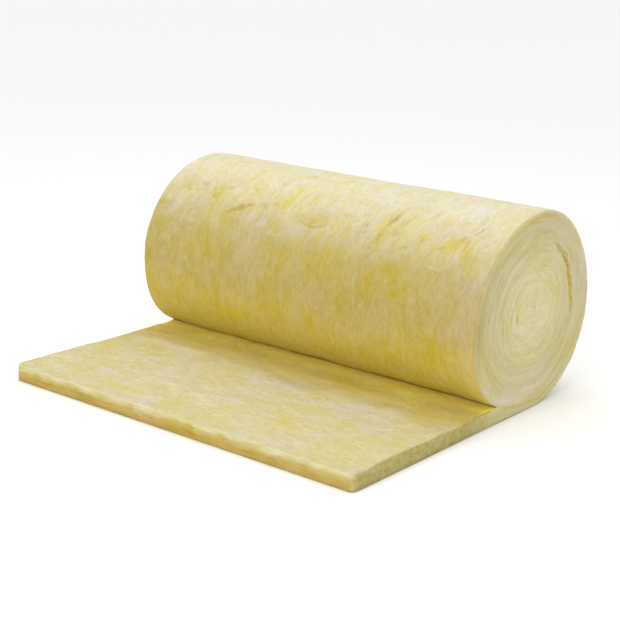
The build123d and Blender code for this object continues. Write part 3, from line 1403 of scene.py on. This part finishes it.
class Shader:
    """A material or node group being put together."""

    def __init__(self, tree: bpy.types.NodeTree) -> None:
        """Takes the node tree of a material or a group, to fill it."""
        self.tree = tree

    def add(self, kind: str, **inputs: object) -> bpy.types.Node:
        """Adds a node and sets or joins its inputs.

        Args:
            kind: the node's type, without its leading ShaderNode.
            inputs: the node's properties first, by their own names, and then values or output
                sockets for its inputs, by name with _ for a space, or by number as in0 and so on.

        Returns:
            The node.
        """
        node = self.tree.nodes.new("ShaderNode" + kind)
        for key, value in inputs.items():
            if hasattr(node, key):
                setattr(node, key, value)
                continue
            counted = key.startswith("in") and key[2:].isdigit()
            self.put(value, node.inputs[int(key[2:]) if counted else key.replace("_", " ")])
        return node

    def put(self, value: object, socket: Socket) -> None:
        """Links an output socket to an input, or sets the input to a value."""
        if isinstance(value, Socket):
            self.tree.links.new(value, socket)
        else:
            socket.default_value = value

    def read(self, name: str) -> Socket:
        """Reads a vertex attribute."""
        return self.add("Attribute", attribute_name=name).outputs["Fac"]

    def maths(self, operation: str, *values: object) -> Socket:
        """Adds a Math node with up to three values or sockets."""
        return self.add("Math", operation=operation, **numbered(values)).outputs[0]

    def vector(self, operation: str, *values: object) -> Socket:
        """Adds a Vector Math node with up to three vectors or sockets."""
        return self.add("VectorMath", operation=operation, **numbered(values)).outputs[0]

    def scaled(self, vector: Socket, scale: object) -> Socket:
        """Scales a vector or a colour by a value or socket."""
        return self.add("VectorMath", operation="SCALE", in0=vector, Scale=scale).outputs[0]

    def joined(self, first: object, second: object, third: object) -> Socket:
        """Joins three values or sockets into a vector."""
        return self.add("CombineXYZ", X=first, Y=second, Z=third).outputs[0]

    def turned(self, vector: Socket, angle: object) -> Socket:
        """Turns a vector about Z by an angle or socket, in radians."""
        return self.add("VectorRotate", rotation_type="Z_AXIS", Vector=vector, Angle=angle).outputs[0]

    def clamped(self, value: object) -> Socket:
        """Keeps a value between nought and one."""
        return self.add("Clamp", Value=value).outputs[0]

    def noise(self, where: Socket, scale: float, detail: float, **inputs: float) -> Socket:
        """Adds a Noise Texture node and gives its value, whose middle is 0.5."""
        return self.add("TexNoise", Vector=where, Scale=scale, Detail=detail, **inputs).outputs["Fac"]

    def off_middle(self, value: Socket) -> Socket:
        """How far a noise or a mask is above its middle."""
        return self.maths("SUBTRACT", value, 0.5)

    def mask(self, group: bpy.types.NodeTree, **inputs: object) -> Socket:
        """Places a node group and gives its mask."""
        return self.add("Group", node_tree=group, **inputs).outputs["Mask"]

    def mix(self, share: Socket, first: Socket, second: Socket) -> Socket:
        """Mixes two colours; the share is how much of the second shows."""
        return self.add("Mix", data_type="RGBA", in0=share, in6=first, in7=second).outputs[2]

    def multiplied(self, colour: Socket, cast: object) -> Socket:
        """Multiplies a colour by a cast, which is a colour or a socket."""
        cast = cast if isinstance(cast, Socket) else (*cast, 1)
        both = {"in6": colour, "in7": cast}
        return self.add("Mix", data_type="RGBA", blend_type="MULTIPLY", in0=1.0, **both).outputs[2]

    def weigh(self, masks: dict[str, Socket], weights: Weights, start: object = 0.0) -> Socket:
        """Adds up masks.

        Args:
            masks: the masks by name.
            weights: the names of those to add, with how strongly each counts.
            start: what they are added to.

        Returns:
            The sum.
        """
        for name, weight in weights:
            start = self.maths("MULTIPLY_ADD", masks[name], weight, start)
        return start

    def ramp(self, factor: Socket, stops: Stops) -> Socket:
        """Adds a colour ramp.

        Args:
            factor: what drives it.
            stops: each stop's place and colour.

        Returns:
            Its colour.
        """
        node = self.add("ValToRGB", Fac=factor)
        elements = node.color_ramp.elements
        for element, (place, colour) in zip(elements, (stops[0], stops[-1])):
            element.position = place
            element.color = (*colour, 1)
        for place, colour in stops[1:-1]:
            elements.new(place).color = (*colour, 1)
        return node.outputs["Color"]


def numbered(values: tuple[object, ...]) -> dict[str, object]:
    """Names the values in0, in1 and so on, as Shader.add takes them."""
    return {f"in{number}": value for number, value in enumerate(values)}


def new_group(name: str, **defaults: float) -> tuple[Shader, bpy.types.Node, bpy.types.Node]:
    """Starts a node group that turns a vector into a mask.

    Args:
        name: the group's name.
        defaults: its other inputs, by name with _ for a space, each with its usual value.

    Returns:
        The shader to fill, its input node and its output node.
    """
    tree = bpy.data.node_groups.new(name, "ShaderNodeTree")
    tree.interface.new_socket("Vector", in_out="INPUT", socket_type="NodeSocketVector")
    for label, default in defaults.items():
        socket = tree.interface.new_socket(
            label.replace("_", " "), in_out="INPUT", socket_type="NodeSocketFloat"
        )
        socket.default_value = default
    tree.interface.new_socket("Mask", in_out="OUTPUT", socket_type="NodeSocketFloat")
    return Shader(tree), tree.nodes.new("NodeGroupInput"), tree.nodes.new("NodeGroupOutput")


def stretched(shader: Shader, where: Socket, entry: bpy.types.Node) -> Socket:
    """Scales a vector by a group's Scale, and along Y by its Stretch times less."""
    scale = entry.outputs["Scale"]
    lengthwise = shader.maths("DIVIDE", scale, entry.outputs["Stretch"])
    return shader.vector("MULTIPLY", where, shader.joined(scale, lengthwise, scale))


def fibre_streaks() -> bpy.types.NodeTree:
    """Makes the group of long, wandering fibre streaks, with a mask from nought to one."""
    shader, entry, leave = new_group(
        "fibre_streaks", Wander=0.05, Wander_Scale=5.0, Scale=60.0, Stretch=6.0, Contrast=0.2
    )
    given = entry.outputs
    drift = shader.add("TexNoise", Vector=given["Vector"], Scale=given["Wander Scale"], Detail=3.0)
    centred = shader.vector("SUBTRACT", drift.outputs["Color"], (0.5, 0.5, 0.5))
    moved = shader.vector("ADD", given["Vector"], shader.scaled(centred, given["Wander"]))
    grain = shader.noise(stretched(shader, moved, entry), 1.0, 3.0, Roughness=0.55)
    low = shader.maths("SUBTRACT", 0.5, given["Contrast"])
    high = shader.maths("ADD", 0.5, given["Contrast"])
    mask = shader.add("MapRange", Value=grain, From_Min=low, From_Max=high).outputs[0]
    shader.put(mask, leave.inputs["Mask"])
    return shader.tree


def drawn_lines() -> bpy.types.NodeTree:
    """Makes the group of thin lines that curl over the surface, with a mask from nought to one."""
    shader, entry, leave = new_group(
        "drawn_lines", Slant=0.0, Scale=9.0, Stretch=1.0, Width=0.012, Cover=0.5
    )
    given = entry.outputs
    turned = shader.turned(given["Vector"], given["Slant"])
    where = stretched(shader, turned, entry)
    waves = shader.noise(where, 1.0, 3.0, Roughness=0.45, Distortion=0.6)
    level = shader.maths("ABSOLUTE", shader.off_middle(waves))
    line = shader.add("MapRange", Value=level, From_Min=given["Width"], From_Max=0.0).outputs[0]
    patches = shader.noise(where, 0.8, 2.0)
    spread = shader.add("MapRange", Value=patches, From_Min=given["Cover"], From_Max=0.7).outputs[0]
    shader.put(shader.maths("MULTIPLY", line, spread), leave.inputs["Mask"])
    return shader.tree


@dataclass(frozen=True)
class WoolFinish:
    """The glass wool's colours and texture, which both of its materials share.

    Args:
        roughness: how rough the fibres are.
        gloss: how strongly they shine.
        sheen: how strongly their tips catch the light.
        sheen_spread: how widely they do.
        glow: how much light passes through the wool.
        glow_depth: how deep it goes, in metres.
        glow_reach: how far each colour of light goes in that.
        golden_cast: what more golden wool is multiplied by.
        pale_cast: what paler wool is multiplied by.
    """

    roughness: float = 0.95
    gloss: float = 0.05
    sheen: float = 0.02
    sheen_spread: float = 0.6
    glow: float = 0.22
    glow_depth: float = 0.03
    glow_reach: Triple = (1.0, 0.8, 0.35)
    golden_cast: Triple = (1.0, 0.945, 0.42)
    pale_cast: Triple = (1.05, 1.05, 1.50)

    def _start(self, name: str) -> tuple[bpy.types.Material, Shader, Socket]:
        """Starts a wool material with its surface's plain values set.

        Args:
            name: the material's name.

        Returns:
            The material, the shader to fill and the place on the object.
        """
        material = bpy.data.materials.new(name)
        material.use_nodes = True
        surface = material.node_tree.nodes["Principled BSDF"]
        for label, value in (
            ("Roughness", self.roughness),
            ("Specular IOR Level", self.gloss),
            ("Sheen Weight", self.sheen),
            ("Sheen Roughness", self.sheen_spread),
            ("Subsurface Weight", self.glow),
            ("Subsurface Scale", self.glow_depth),
            ("Subsurface Radius", self.glow_reach),
        ):
            surface.inputs[label].default_value = value
        shader = Shader(material.node_tree)
        return material, shader, shader.add("TexCoord").outputs["Object"]

    def _finish(self, shader: Shader, colour: Socket, height: Socket) -> None:
        """Joins the colour and the relief to the surface.

        Args:
            shader: the material being put together.
            colour: its colour.
            height: its relief, in metres.
        """
        surface = shader.tree.nodes["Principled BSDF"]
        bump = shader.add("Bump", Height=height, Strength=1.0, Distance=1.0)
        shader.put(colour, surface.inputs["Base Color"])
        shader.put(bump.outputs["Normal"], surface.inputs["Normal"])

    def _cast(self, shader: Shader, colour: Socket, gold: Socket) -> Socket:
        """Turns a colour more golden or paler.

        Args:
            shader: the material being put together.
            colour: the wool's own colour.
            gold: how golden it gets, below nought for paler.

        Returns:
            The cast colour.
        """
        more = shader.clamped(gold)
        less = shader.clamped(shader.maths("MULTIPLY", gold, -1.0))
        golden = shader.mix(more, colour, shader.multiplied(colour, self.golden_cast))
        return shader.mix(less, golden, shader.multiplied(colour, self.pale_cast))


@dataclass(frozen=True)
class FeltFinish(WoolFinish):
    """The blanket's felted faces, from the saturated yellow low down to the pale top."""

    # Partly the wool's own colour and partly painted light: the lowest stop is a painted shadow line in the
    # crease, and the bright stops at 0.05 and 0.14 are painted light offsetting the shade beside it
    tones: Stops = (
        (0.0, (0.25, 0.085, 0.0)),
        (0.05, (0.90, 0.72, 0.125)),
        (0.14, (0.65, 0.55, 0.115)),
        (0.25, (0.57, 0.44, 0.080)),
        (0.4, (0.525, 0.412, 0.104)),
        (0.5, (0.458, 0.364, 0.117)),
        (0.6, (0.475, 0.395, 0.158)),
        (0.8, (0.608, 0.533, 0.290)),
        (1.0, (0.71, 0.65, 0.435)),
    )
    rose_cast: Triple = (0.97, 0.88, 0.94)
    wisp_cast: Triple = (1.11, 1.11, 1.45)

    # The slopes and scales of the slanting, softly crumpled relief where the skin is crinkled
    lean: float = -0.3
    lean_scales: Triple = (36.0, 14.0, 36.0)
    crease_width: float = 0.14

    # How strongly each texture turns the wool golden, counts as a wisp, lightens and raises it
    gold: Weights = (("broad", -0.85), ("fine", -0.06), ("clumps", -1.5), ("ridges", 0.35))
    rosy: Pair = (2.4, -0.3)
    wisps: Weights = (("curls", 0.42), ("threads", 0.10))
    fine_light: Pair = (-0.06, 0.19)
    # The ridges and creases lighten the wool as a painted highlight on its crumples
    light: Weights = (("broad", 0.03), ("ridges", 0.03), ("creases", 0.04))
    relief: Weights = (
        ("nap", 0.0018), ("fine", 0.0008), ("broad", 0.0010), ("creases", 0.0014), ("soft", 0.014),
        ("curls", 0.0012), ("ridges", 0.0022),
    )
    crumple: Pair = (0.0018, 0.0020)

    def build(self, streaks: bpy.types.NodeTree, lines: bpy.types.NodeTree) -> bpy.types.Material:
        """Makes the material of the blanket's broad faces.

        Args:
            streaks: the group of fibre streaks.
            lines: the group of curling lines.

        Returns:
            The material.
        """
        material, shader, where = self._start("wool_felt")
        crinkle = shader.read("crinkle")
        masks = self._unrolled_masks(shader, where, streaks, lines)
        masks |= self._clumped_masks(shader, where)
        for name in ("ridges", "creases", "soft"):
            masks[name] = shader.maths("MULTIPLY", masks[name], crinkle)
        rough = shader.maths("MULTIPLY_ADD", crinkle, *self.crumple)
        height = shader.maths("MULTIPLY", masks["crumple"], rough)
        self._finish(shader, self._colour(shader, masks, crinkle), shader.weigh(masks, self.relief, height))
        return material

    def _unrolled_masks(
        self, shader: Shader, where: Socket, streaks: bpy.types.NodeTree, lines: bpy.types.NodeTree
    ) -> dict[str, Socket]:
        """Draws the textures that follow the unrolled blanket, along it or across it.

        Args:
            shader: the material being put together.
            where: the place on the object.
            streaks: the group of fibre streaks.
            lines: the group of curling lines.

        Returns:
            Each texture's mask by name.
        """
        along = shader.add("SeparateXYZ", Vector=where).outputs["X"]
        run = shader.read("run")
        lengthwise = shader.joined(along, run, 0.0)
        crosswise = shader.joined(run, along, 0.7)
        spot = shader.add(
            "Mix", data_type="VECTOR", in0=shader.read("across"), in4=lengthwise, in5=crosswise
        ).outputs[1]
        drawn_out = shader.vector("MULTIPLY", shader.turned(spot, self.lean), self.lean_scales)
        return {
            "broad": shader.mask(
                streaks, Vector=spot, Wander=0.12, Wander_Scale=3.5, Scale=38.0, Stretch=3.5, Contrast=0.20
            ),
            "fine": shader.mask(
                streaks, Vector=spot, Wander=0.06, Wander_Scale=7.0, Scale=125.0, Stretch=3.0, Contrast=0.22
            ),
            "curls": shader.mask(lines, Vector=spot, Scale=7.0, Stretch=1.5, Width=0.035, Cover=0.42),
            "threads": shader.mask(
                lines, Vector=spot, Slant=0.5, Scale=24.0, Stretch=3.0, Width=0.03, Cover=0.42
            ),
            "ridges": shader.mask(
                lines, Vector=spot, Slant=-0.45, Scale=18.0, Stretch=3.5, Width=0.06, Cover=0.40
            ),
            "soft": shader.noise(drawn_out, 1.0, 3.5, Roughness=0.58, Distortion=0.4),
        }

    def _clumped_masks(self, shader: Shader, where: Socket) -> dict[str, Socket]:
        """Draws the textures that lie alike in every direction.

        Args:
            shader: the material being put together.
            where: the place on the object.

        Returns:
            Each texture's mask by name.
        """
        papery = shader.off_middle(shader.noise(where, 19.0, 2.0, Roughness=0.5, Distortion=0.5))
        creases = shader.add(
            "MapRange", interpolation_type="SMOOTHSTEP", Value=shader.maths("ABSOLUTE", papery),
            From_Min=self.crease_width, From_Max=0.0,
        ).outputs[0]
        return {
            "clumps": shader.noise(where, 22.0, 4.0, Roughness=0.5),
            "creases": creases,
            "nap": shader.noise(where, 420.0, 3.0, Roughness=0.7),
            "crumple": shader.noise(where, 70.0, 4.0, Roughness=0.6, Distortion=0.8),
        }

    def _colour(self, shader: Shader, masks: dict[str, Socket], crinkle: Socket) -> Socket:
        """Colours the felt.

        Args:
            shader: the material being put together.
            masks: the textures by name.
            crinkle: how crinkled the skin is.

        Returns:
            Its colour.
        """
        swings = masks | {name: shader.off_middle(masks[name]) for name in ("broad", "fine", "clumps")}
        uneven = shader.weigh(swings, self.gold)
        gold = shader.maths("MULTIPLY_ADD", uneven, shader.read("vary"), shader.read("gold"))
        colour = self._cast(shader, shader.ramp(shader.read("tone"), self.tones), gold)
        patches = shader.maths("MULTIPLY_ADD", masks["clumps"], *self.rosy)
        rosy = shader.clamped(shader.maths("MULTIPLY", shader.read("rose"), patches))
        colour = shader.mix(rosy, colour, shader.multiplied(colour, self.rose_cast))
        wispy = shader.clamped(shader.weigh(masks, self.wisps))
        colour = shader.mix(wispy, colour, shader.multiplied(colour, self.wisp_cast))
        fine_light = shader.maths("MULTIPLY_ADD", crinkle, *self.fine_light)
        # The light attribute holds mostly painted light and shade
        light = shader.maths("MULTIPLY_ADD", swings["fine"], fine_light, shader.read("light"))
        return shader.scaled(colour, shader.weigh(swings, self.light, light))


@dataclass(frozen=True)
class CutFinish(WoolFinish):
    """The blanket's cut faces, with thin layers wound round the core."""

    tones: Stops = (
        (0.0, (0.385, 0.31, 0.090)),
        (0.3, (0.48, 0.41, 0.148)),
        (0.5, (0.54, 0.47, 0.214)),
        (0.75, (0.645, 0.575, 0.315)),
        (1.0, (0.71, 0.65, 0.315)),
    )
    bands: Stops = (
        (0.0, (0.84, 0.85, 0.62)),
        (0.5, (1.0, 1.0, 1.0)),
        (1.0, (1.12, 1.12, 1.42)),
    )
    amber_cast: Triple = (1.04, 0.90, 0.74)
    amber: float = 1.6

    # The layers: how fine they are through the wool and how often they change round a turn
    coarse_layers: Pair = (62.0, 1.4)
    fine_layers: Pair = (190.0, 3.4)
    ends_apart: float = 6.0

    # How far from the core the layers gain their full strength, and how fraying blurs them
    core_calm: float = 0.5
    core_edges: Pair = (0.01, 0.12)
    fraying_calms: Pair = (-0.6, 1.0)
    fraying_clumps: Pair = (2.4, 0.6)
    clump_scales: Triple = (0.3, 1.0, 1.3)

    # How strongly each texture shades and raises the wool
    shading: Weights = (("coarse", 1.5), ("fine", 0.9))
    relief: Weights = (("nap", 0.0008), ("coarse", 0.0008), ("fine", 0.0005))
    fuzz: Pair = (0.0036, 0.0008)

    def build(self, core: Vector) -> bpy.types.Material:
        """Makes the material of the cut edges.

        Args:
            core: the eye of the rings, as across and height.

        Returns:
            The material.
        """
        material, shader, where = self._start("wool_cut")
        about = shader.vector("SUBTRACT", where, (0.0, core.x, core.y))
        flat = shader.vector("MULTIPLY", about, (0.0, 1.0, 1.0))
        frayed = shader.read("crinkle")
        off_core = shader.add("VectorMath", operation="LENGTH", in0=flat).outputs["Value"]
        low, high = self.core_edges
        calm = shader.add("MapRange", Value=off_core, From_Min=low, From_Max=high, To_Min=self.core_calm)
        fraying_calm = shader.maths("MULTIPLY_ADD", frayed, *self.fraying_calms)
        calm = shader.maths("MULTIPLY", calm.outputs[0], fraying_calm)
        clumps = shader.noise(shader.vector("MULTIPLY", where, self.clump_scales), 60.0, 4.0, Roughness=0.6)
        layers = self._layers(shader, where, flat)
        shades = {name: shader.off_middle(layer) for name, layer in layers.items()}
        mottled = shader.maths("MULTIPLY_ADD", frayed, *self.fraying_clumps)
        uneven = shader.maths("MULTIPLY_ADD", shader.off_middle(clumps), mottled, 0.5)
        banded = shader.weigh(shades, self.shading)
        colour = self._colour(shader, shader.maths("MULTIPLY_ADD", banded, calm, uneven), clumps)
        rises = {name: shader.maths("MULTIPLY", layer, calm) for name, layer in layers.items()}
        rises["nap"] = shader.noise(where, 500.0, 3.0, Roughness=0.7)
        fuzz = shader.maths("MULTIPLY", clumps, shader.maths("MULTIPLY_ADD", frayed, *self.fuzz))
        self._finish(shader, colour, shader.weigh(rises, self.relief, fuzz))
        return material

    def _layers(self, shader: Shader, where: Socket, flat: Socket) -> dict[str, Socket]:
        """Draws thin layers that wind round the core.

        Args:
            shader: the material being put together.
            where: the place on the object.
            flat: the way there from the core, without the part along the roll.

        Returns:
            The coarse and the fine layers' noise, by name.
        """
        ring = shader.add("SeparateXYZ", Vector=shader.vector("NORMALIZE", flat)).outputs
        along = shader.add("SeparateXYZ", Vector=where).outputs["X"]
        lamina = shader.read("lamina")
        layers = {}
        for name, (depth, turns) in (("coarse", self.coarse_layers), ("fine", self.fine_layers)):
            across = shader.maths("MULTIPLY", ring["Y"], turns)
            around = shader.maths("MULTIPLY_ADD", along, self.ends_apart, across)
            up = shader.maths("MULTIPLY", ring["Z"], turns)
            wound = shader.joined(around, up, shader.maths("MULTIPLY", lamina, depth))
            layers[name] = shader.noise(wound, 1.0, 3.0, Roughness=0.6)
        return layers

    def _colour(self, shader: Shader, lightness: Socket, clumps: Socket) -> Socket:
        """Colours the cut wool.

        Args:
            shader: the material being put together.
            lightness: how light its layers are.
            clumps: its clumps.

        Returns:
            Its colour.
        """
        colour = shader.ramp(shader.read("tone"), self.tones)
        colour = shader.multiplied(colour, shader.ramp(lightness, self.bands))
        colour = self._cast(shader, colour, shader.read("gold"))
        patches = shader.maths("MULTIPLY", clumps, self.amber)
        amber = shader.clamped(shader.maths("MULTIPLY", shader.read("rose"), patches))
        colour = shader.mix(amber, colour, shader.multiplied(colour, self.amber_cast))
        # The light attribute holds mostly painted light and shade
        return shader.scaled(colour, shader.read("light"))


@dataclass(frozen=True)
class SoftLamp:
    """A broad, soft lamp.

    Args:
        name: its name.
        power: how strong it is, in watts.
        size: its side in metres.
        spot: where it hangs.
        aim: what it points at.
    """

    name: str
    power: float
    size: float
    spot: Triple
    aim: Triple

    def hang(self) -> None:
        """Adds the lamp to the scene."""
        lamp = bpy.data.lights.new(self.name, "AREA")
        lamp.energy = self.power
        lamp.size = self.size
        hung = bpy.data.objects.new(self.name, lamp)
        hung.location = self.spot
        hung.rotation_euler = (Vector(self.aim) - hung.location).to_track_quat("-Z", "Y").to_euler()
        bpy.context.scene.collection.objects.link(hung)


@dataclass
class Studio:
    """The pale floor, the soft light and the camera."""

    floor_size: float = 160.0
    paper: Triple = (0.95, 0.95, 0.95)
    paper_roughness: float = 0.9
    dome_low: float = 0.42
    dome_rise: float = 0.85
    lamps: tuple[SoftLamp, ...] = (
        SoftLamp("overhead", 14.0, 2.4, (0.0, 0.9, 3.0), (0.0, -0.1, 0.3)),
        SoftLamp("front_fill", 62.0, 1.4, (0.3, -4.0, 1.7), (0.0, -0.2, 0.1)),
    )
    camera_spot: Triple = (2.4195, -3.3379, 1.3267)
    camera_turn: Triple = (74.196, -1.940, 38.476)
    view_angle: float = 24.591
    view_depth: float = 100.0
    sensor: float = 36.0

    def build(self) -> None:
        """Builds the studio round the object."""
        self._floor()
        self._light()
        self._camera()

    def _floor(self) -> None:
        """Lays the plain pale floor."""
        mesh = bmesh.new()
        bmesh.ops.create_grid(mesh, x_segments=1, y_segments=1, size=self.floor_size / 2)
        floor = new_object("studio_floor", mesh)
        material = bpy.data.materials.new("studio_paper")
        material.use_nodes = True
        surface = material.node_tree.nodes["Principled BSDF"]
        surface.inputs["Base Color"].default_value = (*self.paper, 1)
        surface.inputs["Roughness"].default_value = self.paper_roughness
        floor.data.materials.append(material)

    def _light(self) -> None:
        """Hangs the soft lights and lights the surroundings."""
        world = bpy.data.worlds.new("studio_air")
        world.use_nodes = True
        air = Shader(world.node_tree)
        direction = air.add("TexCoord").outputs["Generated"]
        height = air.maths("MAXIMUM", air.add("SeparateXYZ", Vector=direction).outputs["Z"], 0.0)
        background = world.node_tree.nodes["Background"]
        background.inputs["Color"].default_value = (1, 1, 1, 1)
        air.put(
            air.maths("MULTIPLY_ADD", height, self.dome_rise, self.dome_low), background.inputs["Strength"]
        )
        bpy.context.scene.world = world
        for lamp in self.lamps:
            lamp.hang()

    def _camera(self) -> None:
        """Places the camera at the viewing angle of the picture."""
        lens = bpy.data.cameras.new("camera")
        lens.sensor_width = self.sensor
        lens.angle = radians(self.view_angle)
        lens.clip_end = self.view_depth
        camera = bpy.data.objects.new("camera", lens)
        camera.location = self.camera_spot
        camera.rotation_euler = Euler([radians(angle) for angle in self.camera_turn], "XYZ")
        bpy.context.scene.collection.objects.link(camera)
        bpy.context.scene.camera = camera


def main() -> None:
    """Builds the blanket and the studio, and reports each piece."""
    bpy.context.scene.view_settings.view_transform = "Standard"
    logging.basicConfig(level=logging.INFO, format="%(name)s: %(message)s")
    design = WoundBlanket()
    blanket = design.build()
    blanket.data.materials.append(FeltFinish().build(fibre_streaks(), drawn_lines()))
    blanket.data.materials.append(CutFinish().build(design.eye))
    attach(blanket, "root")
    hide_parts(NODE)
    blanket.data.calc_loop_triangles()
    log.info("%s: %d triangles", blanket.name, len(blanket.data.loop_triangles))
    Studio().build()


if __name__ == "__main__":
    main()
